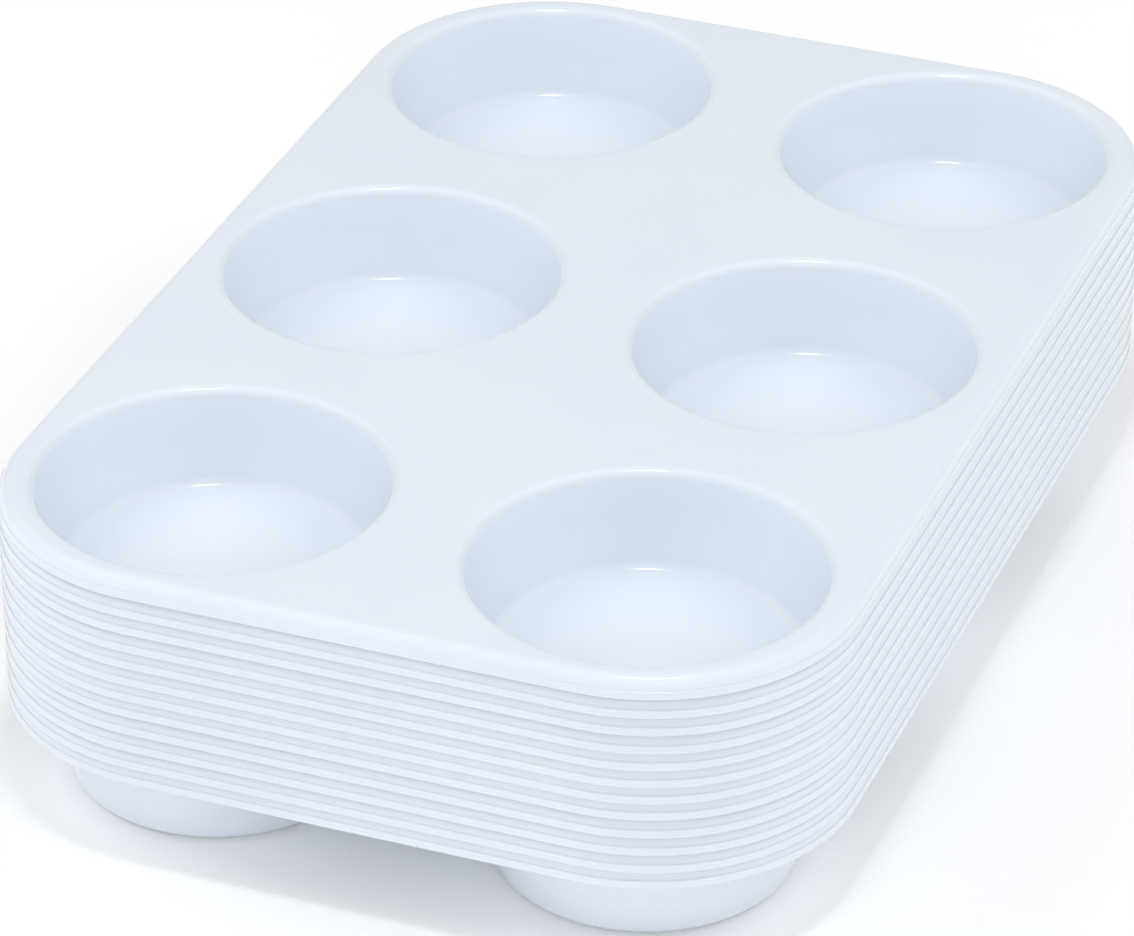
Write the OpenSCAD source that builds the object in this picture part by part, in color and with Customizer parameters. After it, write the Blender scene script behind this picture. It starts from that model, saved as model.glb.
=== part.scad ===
// Six-well mixing palette, a nested stack of twelve identical mouldings.
// Units are millimetres, +Z is up. The origin is at the middle of the stack's footprint,
// on the level the lowest foot rings stand on. The short side runs along X.

/* [Plate] */
// Width over the lip, short side
plate_w = 165; // [162:1:176]
// Length over the lip, long side
plate_l = 250; // [249:1:262]
// Radius of the four corners over the lip
corner_r = 39.5; // [20:0.5:42]
// Wall thickness everywhere
wall = 0.75; // [0.5:0.05:0.8]
// Outside radius of the rolled edge round the plate
roll_r = 2.2; // [1.2:0.1:2.4]
// Height of the lip below the rolled edge
lip_h = 1.1; // [0.6:0.1:1.3]
// How far the lip stands out past the rolled edge
lip_w = 0.8; // [0.4:0.1:1.2]

/* [Wells] */
// Spacing of the wells across the short side
pitch_x = 85; // [74:0.5:88]
// Spacing of the wells along the long side
pitch_y = 86.2; // [74:0.2:86.8]
// Radius of a well at the level of the plate, before the rim is rounded
mouth_r = 33.3; // [28:0.1:33.9]
// Radius of the rounded rim of a well
rim_r = 2.1; // [1:0.1:2.6]
// Depth from the plate to the well floor
well_depth = 18.2; // [12:0.2:24]
// Slope of the well wall away from vertical, in degrees
draft = 16; // [15:0.5:24]
// Inside radius between the well wall and its floor
floor_r = 2.5; // [1.5:0.1:2.6]

/* [Foot ring under each well] */
// Height of the ring below the floor's underside
foot_h = 2.5; // [0.5:0.1:2.5]
// Width of the flat face of the ring
foot_w = 0.8; // [0.6:0.1:2]
// Radius of the ring's outer edge
foot_r = 2.3; // [2.2:0.1:3]

/* [Stack] */
// Least rise from one palette to the next when nested
nest_pitch = 3.4; // [3.35:0.05:6]
// Share of the uneven settling between palettes, 0 for a perfectly even stack
unevenness = 1; // [0:0.1:2]

/* [Colour] */
// Body colour
palette_colour = "#E9EFF7"; // color

/* [Hidden] */
$fn = 96;
arc_steps = 6;
skirt_h = roll_r + lip_h;
lip_slope = 0.15;
foot_slope = 0.4;
flat_w = plate_w / 2 - lip_w - roll_r;
flat_l = plate_l / 2 - lip_w - roll_r;
flat_r = corner_r - lip_w - roll_r;
half = (90 - draft) / 2;
rim_flat = mouth_r + rim_r * tan(half);
rim_in = rim_r - wall;
flange = 0.2;
floor_in = mouth_r - well_depth * tan(draft);
side_out = mouth_r + wall / cos(draft);
foot_z = -well_depth - wall - foot_h;
foot_out = side_out + foot_z * tan(draft);
foot_flat = foot_out - foot_r * tan(half);
foot_in = foot_flat - foot_w;
well_x = pitch_x / 2;
well_y = pitch_y;
// Extra rise above each palette from the bottom up, as a loosely squared stack settles
settle = [0, 0.3, 0.3, 0.4, 0, 0, 0.2, 0.1, 0.4, 0.2, 0.5];

// Points of an arc about [cx, cy], from angle a to angle b
function arc(cx, cy, r, a, b) =
    [for (i = [0:arc_steps]) let (q = a + (b - a) * i / arc_steps) [cx + r * cos(q), cy + r * sin(q)]];

// Sum of the settling of the palettes below palette k
function settled(k) = k < 2 ? 0 : settled(k - 1) + settle[k - 2];

// Height of the plate's top face on palette k, counted from 1 at the bottom
function top_z(k) = -foot_z + (k - 1) * nest_pitch + unevenness * settled(k);

// Section of the rolled edge and its lip, x measured out from the flat of the plate
module edge_section() {
    polygon(concat(
        arc(0, -roll_r, roll_r, 90, 0),
        [[roll_r + lip_w, -roll_r - lip_slope], [roll_r + lip_w, -skirt_h], [roll_r - wall, -skirt_h]],
        arc(0, -roll_r, roll_r - wall, 0, 90)
    ));
}

// Section of one well, x measured out from its centre line
module well_section() {
    polygon(concat(
        [[rim_flat + flange, -wall], [rim_flat + flange, 0]],
        arc(rim_flat, -rim_r, rim_r, 90, 180 - draft),
        arc(floor_in - floor_r * tan(half), floor_r - well_depth, floor_r, -draft, -90),
        [[0, -well_depth], [0, -well_depth - wall]],
        [[foot_in - foot_slope, -well_depth - wall], [foot_in, foot_z]],
        arc(foot_flat, foot_z + foot_r, foot_r, -90, -draft),
        arc(rim_flat, -rim_r, rim_in, 180 - draft, 90)
    ));
}

// Straight run of the edge along +X, centred, its flat side towards -Y
module edge_run(length) {
    rotate([90, 0, 90]) translate([0, 0, -length / 2]) linear_extrude(length) edge_section();
}

module edge_corner() {
    rotate_extrude(angle = 90) translate([flat_r, 0]) edge_section();
}

// The flat of the plate, less the six well mouths
module flat_plate() {
    translate([0, 0, -wall]) linear_extrude(wall) difference() {
        union() {
            square([2 * flat_w, 2 * (flat_l - flat_r)], center = true);
            square([2 * (flat_w - flat_r), 2 * flat_l], center = true);
            for (x = [-1, 1], y = [-1, 1])
                translate([x * (flat_w - flat_r), y * (flat_l - flat_r)]) circle(flat_r);
        }
        for (x = [-1, 1], y = [-1, 0, 1])
            translate([x * well_x, y * well_y]) circle(rim_flat + flange / 2);
    }
}

// One whole palette, its plate's top face at z = 0
module palette() {
    flat_plate();
    for (y = [-1, 1]) rotate(y > 0 ? 0 : 180) translate([0, flat_l, 0]) edge_run(2 * (flat_w - flat_r));
    for (x = [-1, 1]) rotate(-90 * x) translate([0, flat_w, 0]) edge_run(2 * (flat_l - flat_r));
    for (q = [0:3]) {
        sx = (q == 0 || q == 3) ? 1 : -1;
        sy = q < 2 ? 1 : -1;
        translate([sx * (flat_w - flat_r), sy * (flat_l - flat_r), 0]) rotate(90 * q) edge_corner();
    }
    for (x = [-1, 1], y = [-1, 0, 1])
        translate([x * well_x, y * well_y, 0]) rotate_extrude() well_section();
}

module stacked(k) {
    color(palette_colour) translate([0, 0, top_z(k)]) palette();
}

module palette_01() { stacked(1); }
module palette_02() { stacked(2); }
module palette_03() { stacked(3); }
module palette_04() { stacked(4); }
module palette_05() { stacked(5); }
module palette_06() { stacked(6); }
module palette_07() { stacked(7); }
module palette_08() { stacked(8); }
module palette_09() { stacked(9); }
module palette_10() { stacked(10); }
module palette_11() { stacked(11); }
module palette_12() { stacked(12); }

palette_01();
palette_02();
palette_03();
palette_04();
palette_05();
palette_06();
palette_07();
palette_08();
palette_09();
palette_10();
palette_11();
palette_12();
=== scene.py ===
"""A nested stack of twelve white six-well mixing palettes, on a pale floor in soft studio light."""

import math

import bmesh
import bpy
from mathutils import Matrix, Vector, geometry


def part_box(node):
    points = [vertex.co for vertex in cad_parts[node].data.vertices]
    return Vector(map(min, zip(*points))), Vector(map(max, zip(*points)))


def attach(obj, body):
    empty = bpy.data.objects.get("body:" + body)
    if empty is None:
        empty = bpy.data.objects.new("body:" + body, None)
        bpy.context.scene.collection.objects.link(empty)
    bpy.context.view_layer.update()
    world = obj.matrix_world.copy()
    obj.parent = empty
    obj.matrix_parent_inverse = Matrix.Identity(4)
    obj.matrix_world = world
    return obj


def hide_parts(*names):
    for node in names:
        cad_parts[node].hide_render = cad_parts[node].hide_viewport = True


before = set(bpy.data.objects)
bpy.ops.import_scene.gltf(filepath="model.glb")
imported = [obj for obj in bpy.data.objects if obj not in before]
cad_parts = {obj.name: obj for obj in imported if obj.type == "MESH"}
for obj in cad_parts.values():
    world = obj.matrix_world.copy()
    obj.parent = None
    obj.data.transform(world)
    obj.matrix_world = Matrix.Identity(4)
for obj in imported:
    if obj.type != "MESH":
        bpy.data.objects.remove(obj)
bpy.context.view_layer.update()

MM = 0.001
NODES = sorted(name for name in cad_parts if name.startswith("palette_"))
TOP_NODE = NODES[-1]
TOP_LOW, TOP_HIGH = (Vector(corner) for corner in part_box(TOP_NODE))
STACK_CENTRE = (Vector(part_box(NODES[0])[0]) + TOP_HIGH) / 2

# The palette, in millimetres. Its width, length and depth come from its CAD node.
PLATE_W = (TOP_HIGH.x - TOP_LOW.x) / MM
PLATE_L = (TOP_HIGH.y - TOP_LOW.y) / MM
DEPTH = (TOP_HIGH.z - TOP_LOW.z) / MM
CORNER_R = 39.5
WALL = 0.75
ROLL_R = 2.2
EDGE = 3.0
LIP_TOP = 2.2
LIP_H = 1.75
LIP_W = 0.35
LIP_ROOT_R = 0.12
LIP_TOP_R = 0.3
LIP_FOOT_R = 0.25
LIP_INNER_R = 0.15
LEDGE_TILT = 5
PITCH_X = 85.0
PITCH_Y = 86.2
MOUTH_R = 33.3
RIM_R = 2.1
DRAFT = 16.0
FLOOR_R = 2.5
FOOT_H = 2.5
FOOT_W = 0.8
FOOT_R = 2.3
HEEL_R = 0.2
ROOT_R = 0.4
ROOT_SPREAD = 0.8
INNER_LEAN = 10

SKIRT_H = LIP_TOP + LIP_H
FLAT_W = PLATE_W / 2 - EDGE
FLAT_L = PLATE_L / 2 - EDGE
FLAT_R = CORNER_R - EDGE
HALF = math.radians((90 - DRAFT) / 2)
SLOPE = math.tan(math.radians(DRAFT))
WELL_DEPTH = DEPTH - WALL - FOOT_H
RIM_FLAT = MOUTH_R + RIM_R * math.tan(HALF)
WELLS = [(x * PITCH_X / 2, y * PITCH_Y) for y in (-1, 0, 1) for x in (-1, 1)]

# Mesh fineness, and three distances in millimetres that are small enough to ignore
WELL_SIDES = 72
CORNER_STEPS = 14
SIDE_STEPS = 5
PLATE_GRID = 6.0
ON_EDGE = 0.02
WELD = 0.002
SAME_POINT = 1e-6

# The plastic: the darker and the paler part of its mottling, its gloss, and how fine each texture is
PLASTIC_DARK = (0.755, 0.812, 0.886, 1)
PLASTIC_PALE = (0.775, 0.830, 0.900, 1)
PLASTIC_IOR = 1.49
SMOOTHEST = 0.14
ROUGHEST = 0.20
MOTTLE_SCALE = 28.0
GLOSS_SCALE = 90.0
PEEL_SCALE = 420.0
PEEL_STRENGTH = 0.08
PEEL_HEIGHT = 0.0001
NOISE_LOW = 0.3
NOISE_HIGH = 0.7

# The floor, in metres
FLOOR_SIZE = 6.0
FLOOR_GAP = 0.0005
FLOOR_SCALE = 3.0
FLOOR_DARK = (0.95, 0.95, 0.955, 1)
FLOOR_PALE = (0.97, 0.97, 0.975, 1)
FLOOR_GLOW = 0.08
WHITE = (1.0, 1.0, 1.0, 1)

# The camera looks down on the near right corner with a long lens
VIEW_AZIMUTH = 20.97
VIEW_ELEVATION = 30.58
VIEW_DISTANCE = 1.157
VIEW_LENS = 190.5
VIEW_RIGHT = 0.0056
VIEW_UP = 0.0314


def arc(cx, cz, r, start, end, steps):
    """Points of an arc about (cx, cz) from angle start to angle end, in degrees."""
    angles = [math.radians(start + (end - start) * i / steps) for i in range(steps + 1)]
    return [(cx + r * math.cos(a), cz + r * math.sin(a)) for a in angles]


def edge_section():
    """The rolled edge, drafted skirt and lip, from the flat of the plate round to its underside."""
    skirt = EDGE - LIP_W
    inner = skirt - WALL
    slope_end = skirt - (LIP_TOP - ROLL_R * (1 - math.sin(math.radians(DRAFT)))) * SLOPE
    roll_x = slope_end - ROLL_R * math.cos(math.radians(DRAFT))
    return (
        [(0, 0)]
        + arc(roll_x, -ROLL_R, ROLL_R, 90, DRAFT, 8)
        + arc(skirt + LIP_ROOT_R, LIP_ROOT_R - LIP_TOP, LIP_ROOT_R, 180 + DRAFT, 270 - LEDGE_TILT, 2)
        + arc(EDGE - LIP_TOP_R, -LIP_TOP - LIP_TOP_R, LIP_TOP_R, 90 - LEDGE_TILT, 0, 4)
        + arc(EDGE - LIP_FOOT_R, LIP_FOOT_R - SKIRT_H, LIP_FOOT_R, 0, -90, 3)
        + arc(inner + LIP_INNER_R, LIP_INNER_R - SKIRT_H, LIP_INNER_R, -90, -180, 2)
        + arc(roll_x, -ROLL_R, ROLL_R - WALL, DRAFT, 90, 6)
        + [(0, -WALL)]
    )


def well_inside():
    """The inside of a well, from its rounded rim down to the middle of its floor."""
    floor_edge = MOUTH_R - WELL_DEPTH * SLOPE - FLOOR_R * math.tan(HALF)
    rim = arc(RIM_FLAT, -RIM_R, RIM_R, 90, 180 - DRAFT, 6)
    fillet = arc(floor_edge, FLOOR_R - WELL_DEPTH, FLOOR_R, -DRAFT, -90, 6)
    wall = between(rim[-1], fillet[0], 3)
    floor = between(fillet[-1], (0, -WELL_DEPTH), 3)
    return rim + wall + fillet + floor


def well_outside():
    """The underside of a well, from below the plate, over its foot ring, to the middle."""
    foot_z = -DEPTH
    foot_edge = MOUTH_R + WALL / math.cos(math.radians(DRAFT)) + foot_z * SLOPE
    foot_flat = foot_edge - FOOT_R * math.tan(HALF)
    foot_in = foot_flat - FOOT_W
    under = -WELL_DEPTH - WALL
    rim = arc(RIM_FLAT, -RIM_R, RIM_R - WALL, 90, 180 - DRAFT, 4)
    foot = arc(foot_flat, foot_z + FOOT_R, FOOT_R, -DRAFT, -90, 5)
    heel = arc(foot_in, foot_z + HEEL_R, HEEL_R, -90, INNER_LEAN - 180, 2)
    root = arc(foot_in - ROOT_SPREAD, under - ROOT_R, ROOT_R, INNER_LEAN, 90, 2)
    wall = between(rim[-1], foot[0], 3)
    floor = between(root[-1], (0, under), 2)
    return rim + wall + foot + heel + root + floor


def between(a, b, steps):
    """Points strictly between a and b, and b itself where it is on the centre line."""
    last = steps + 1 if b[0] == 0 else steps
    return [(a[0] + (b[0] - a[0]) * i / steps, a[1] + (b[1] - a[1]) * i / steps) for i in range(1, last)]


def outline(offset):
    """Points round the palette at this distance outside the flat of its plate, anticlockwise."""
    corners = []
    for quarter, (sx, sy) in enumerate(((1, 1), (-1, 1), (-1, -1), (1, -1))):
        cx, cy = sx * (FLAT_W - FLAT_R), sy * (FLAT_L - FLAT_R)
        start = 90 * quarter
        corners.append(arc(cx, cy, FLAT_R + offset, start, start + 90, CORNER_STEPS))
    points = []
    for corner, following in zip(corners, corners[1:] + corners[:1]):
        points += corner + between(corner[-1], following[0], SIDE_STEPS)
    return points


def circle(cx, cy, r):
    """Points round a circle, anticlockwise."""
    return arc(cx, cy, r, 0, 360 * (1 - 1 / WELL_SIDES), WELL_SIDES - 1)


def in_plate(x, y, margin):
    """Whether a point of the plate is this far inside its edge and outside its well mouths."""
    dx = max(abs(x) - (FLAT_W - FLAT_R), 0)
    dy = max(abs(y) - (FLAT_L - FLAT_R), 0)
    inside = math.hypot(dx, dy) < FLAT_R - margin
    return inside and all(math.hypot(x - cx, y - cy) > RIM_FLAT + margin for cx, cy in WELLS)


def plate_grid():
    """Staggered points over the flat of the plate, clear of its edge and its wells."""
    points = []
    columns = int(FLAT_W / PLATE_GRID)
    rows = int(FLAT_L / PLATE_GRID)
    for i in range(-columns, columns + 1):
        for j in range(-rows, rows + 1):
            x = i * PLATE_GRID + (j % 2) * PLATE_GRID / 2
            y = j * PLATE_GRID
            if in_plate(x, y, PLATE_GRID / 2):
                points.append((x, y))
    return points


def plate_triangles():
    """The flat of the plate, less its wells, as points and triangles."""
    points, edges = [], []
    for ring in [outline(0)] + [circle(cx, cy, RIM_FLAT) for cx, cy in WELLS]:
        first = len(points)
        points += ring
        edges += [(first + i, first + (i + 1) % len(ring)) for i in range(len(ring))]
    points += plate_grid()
    made = geometry.delaunay_2d_cdt([Vector(p) for p in points], edges, [], 0, SAME_POINT / 10)
    flat, faces = made[0], made[2]
    keep = []
    for face in faces:
        middle = sum((flat[i] for i in face), Vector((0, 0))) / 3
        if in_plate(middle.x, middle.y, -ON_EDGE):
            keep.append(face)
    return flat, keep


def sweep(bm, rings, flip):
    """Joins closed rings of vertices with quads; a ring of one vertex closes to a point."""
    for a, b in zip(rings, rings[1:]):
        count = len(a)
        for i in range(count):
            j = (i + 1) % count
            corners = [a[i], a[j], b[j], b[i]] if len(b) > 1 else [a[i], a[j], b[0]]
            bm.faces.new(corners[::-1] if flip else corners)


def add_plate(bm):
    """The two faces of the plate's flat."""
    flat, faces = plate_triangles()
    for z, flip in ((0, False), (-WALL, True)):
        verts = [bm.verts.new((p.x, p.y, z)) for p in flat]
        for face in faces:
            bm.faces.new([verts[i] for i in (face[::-1] if flip else face)])


def add_edge(bm):
    """The rolled edge and lip all round the plate."""
    rings = [[bm.verts.new((x, y, z)) for x, y in outline(o)] for o, z in edge_section()]
    sweep(bm, rings, flip=True)


def add_well(bm, cx, cy):
    """The inside and the underside of one well."""
    for profile, flip in ((well_inside(), False), (well_outside(), True)):
        rings = []
        for r, z in profile:
            ring = circle(cx, cy, r) if r > SAME_POINT else [(cx, cy)]
            rings.append([bm.verts.new((x, y, z)) for x, y in ring])
        sweep(bm, rings, flip)


def palette_mesh(name):
    """One palette in metres, its plate's top face at z = 0."""
    bm = bmesh.new()
    add_plate(bm)
    add_edge(bm)
    for cx, cy in WELLS:
        add_well(bm, cx, cy)
    bmesh.ops.remove_doubles(bm, verts=bm.verts, dist=WELD)
    bmesh.ops.recalc_face_normals(bm, faces=bm.faces)
    bmesh.ops.transform(bm, matrix=Matrix.Scale(MM, 4), verts=bm.verts)
    for face in bm.faces:
        face.smooth = True
    mesh = bpy.data.meshes.new(name)
    bm.to_mesh(mesh)
    bm.free()
    return mesh


def new_material(name):
    """A node material, its tree and its Principled shader."""
    material = bpy.data.materials.new(name)
    material.use_nodes = True
    tree = material.node_tree
    return material, tree, tree.nodes["Principled BSDF"]


def noise(tree, coords, scale, detail=3.0, roughness=0.5):
    """The grey of a noise texture over object space."""
    node = tree.nodes.new("ShaderNodeTexNoise")
    node.inputs["Scale"].default_value = scale
    node.inputs["Detail"].default_value = detail
    node.inputs["Roughness"].default_value = roughness
    tree.links.new(coords, node.inputs["Vector"])
    return node.outputs["Fac"]


def mottling(tree, value, dark, pale, low=0.0, high=1.0):
    """A colour that goes from dark to pale as a value goes from low to high."""
    node = tree.nodes.new("ShaderNodeValToRGB")
    first, last = node.color_ramp.elements
    first.position = low
    first.color = dark
    last.position = high
    last.color = pale
    tree.links.new(value, node.inputs["Fac"])
    return node.outputs["Color"]


def mapped(tree, value, low, high, to_low, to_high):
    """A value taken from one range to another."""
    node = tree.nodes.new("ShaderNodeMapRange")
    node.inputs["From Min"].default_value = low
    node.inputs["From Max"].default_value = high
    node.inputs["To Min"].default_value = to_low
    node.inputs["To Max"].default_value = to_high
    tree.links.new(value, node.inputs["Value"])
    return node.outputs["Result"]


def white_plastic():
    """Glossy cool white moulded plastic, with faint mottling and moulding texture."""
    material, tree, shader = new_material("white_plastic")
    coords = tree.nodes.new("ShaderNodeTexCoord").outputs["Object"]
    spots = noise(tree, coords, MOTTLE_SCALE)
    colour = mottling(tree, spots, PLASTIC_DARK, PLASTIC_PALE, NOISE_LOW, NOISE_HIGH)
    tree.links.new(colour, shader.inputs["Base Color"])
    wear = noise(tree, coords, GLOSS_SCALE, detail=5.0)
    gloss = mapped(tree, wear, NOISE_LOW, NOISE_HIGH, SMOOTHEST, ROUGHEST)
    tree.links.new(gloss, shader.inputs["Roughness"])
    peel = tree.nodes.new("ShaderNodeBump")
    peel.inputs["Strength"].default_value = PEEL_STRENGTH
    peel.inputs["Distance"].default_value = PEEL_HEIGHT
    tree.links.new(noise(tree, coords, PEEL_SCALE, detail=2.0), peel.inputs["Height"])
    tree.links.new(peel.outputs["Normal"], shader.inputs["Normal"])
    shader.inputs["IOR"].default_value = PLASTIC_IOR
    return material


def add_palettes(material):
    """A finished palette in place of each CAD one, riding on its body."""
    for node in NODES:
        mesh = palette_mesh(node + "_shell")
        mesh.transform(Matrix.Translation((0, 0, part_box(node)[1][2])))
        mesh.materials.append(material)
        shell = bpy.data.objects.new(node + "_shell", mesh)
        bpy.context.scene.collection.objects.link(shell)
        smooth = shell.modifiers.new("even_normals", "WEIGHTED_NORMAL")
        smooth.weight = 80
        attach(shell, node)
        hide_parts(node)


def add_floor():
    """A pale floor with a faint glow, which runs past every view."""
    material, tree, shader = new_material("studio_floor")
    coords = tree.nodes.new("ShaderNodeTexCoord").outputs["Object"]
    colour = mottling(tree, noise(tree, coords, FLOOR_SCALE), FLOOR_DARK, FLOOR_PALE)
    tree.links.new(colour, shader.inputs["Base Color"])
    shader.inputs["Roughness"].default_value = 0.9
    shader.inputs["Specular IOR Level"].default_value = 0.1
    shader.inputs["Emission Color"].default_value = WHITE
    shader.inputs["Emission Strength"].default_value = FLOOR_GLOW
    bm = bmesh.new()
    bmesh.ops.create_grid(bm, x_segments=8, y_segments=8, size=FLOOR_SIZE)
    mesh = bpy.data.meshes.new("floor")
    bm.to_mesh(mesh)
    bm.free()
    mesh.materials.append(material)
    floor = bpy.data.objects.new("floor", mesh)
    floor.location = (0, 0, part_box(NODES[0])[0][2] - FLOOR_GAP)
    bpy.context.scene.collection.objects.link(floor)


def direction(azimuth, elevation):
    """The unit vector from the object towards a viewer or a light; azimuth 0 is the -Y side."""
    a, e = math.radians(azimuth), math.radians(elevation)
    return Vector((math.sin(a) * math.cos(e), -math.cos(a) * math.cos(e), math.sin(e)))


def add_light(name, turn, elevation, distance, width, height, power, glossy=False):
    """A panel light that faces the stack: turn is from the camera's azimuth, sizes are in metres."""
    data = bpy.data.lights.new(name, "AREA")
    data.shape = "RECTANGLE"
    data.size, data.size_y = width, height
    data.energy = power
    lamp = bpy.data.objects.new(name, data)
    back = direction(VIEW_AZIMUTH + turn, elevation)
    lamp.location = STACK_CENTRE + back * distance
    lamp.rotation_euler = back.to_track_quat("Z", "Y").to_euler()
    lamp.visible_camera = False
    lamp.visible_glossy = glossy
    bpy.context.scene.collection.objects.link(lamp)


def add_lights():
    """A small key near the zenith for crisp highlights, and soft fills that show in no reflection."""
    add_light("key", 0, 80, 1.2, 0.16, 0.12, 2.6, glossy=True)
    add_light("front_fill", 0, 30, 1.6, 0.8, 0.8, 4.6)
    add_light("left_fill", -90, 45, 1.6, 0.8, 0.8, 6.3)
    add_light("right_fill", 90, 45, 1.6, 0.8, 0.8, 6.0)
    add_light("low_left", -65, 1, 1.6, 1.2, 0.3, 1.8)
    add_light("low_right", 65, 1, 1.6, 1.2, 0.3, 0.9)


def add_world(overhead, horizon):
    """White light from all round, with one strength overhead and another at the horizon."""
    world = bpy.data.worlds.new("studio")
    world.use_nodes = True
    tree = world.node_tree
    split = tree.nodes.new("ShaderNodeSeparateXYZ")
    tree.links.new(tree.nodes.new("ShaderNodeTexCoord").outputs["Generated"], split.inputs["Vector"])
    rise = mapped(tree, split.outputs["Z"], 0.0, 0.2, horizon, overhead)
    sky = tree.nodes["Background"]
    sky.inputs["Color"].default_value = WHITE
    tree.links.new(rise, sky.inputs["Strength"])
    bpy.context.scene.world = world


def add_camera():
    """The camera, aimed past the middle of the top plate's face."""
    data = bpy.data.cameras.new("camera")
    data.sensor_fit = "HORIZONTAL"
    data.sensor_width = 36.0
    data.lens = VIEW_LENS
    data.clip_end = 50.0
    camera = bpy.data.objects.new("camera", data)
    back = direction(VIEW_AZIMUTH, VIEW_ELEVATION)
    right = Vector((0, 0, 1)).cross(back).normalized()
    up = back.cross(right)
    target = Vector(((TOP_LOW.x + TOP_HIGH.x) / 2, (TOP_LOW.y + TOP_HIGH.y) / 2, TOP_HIGH.z))
    camera.location = target + back * VIEW_DISTANCE - right * VIEW_RIGHT - up * VIEW_UP
    camera.rotation_euler = Matrix((right, up, back)).transposed().to_euler()
    bpy.context.scene.collection.objects.link(camera)
    bpy.context.scene.camera = camera


add_palettes(white_plastic())
add_floor()
add_world(overhead=0.457, horizon=1.0)
add_lights()
add_camera()
bpy.context.scene.view_settings.view_transform = "Standard"
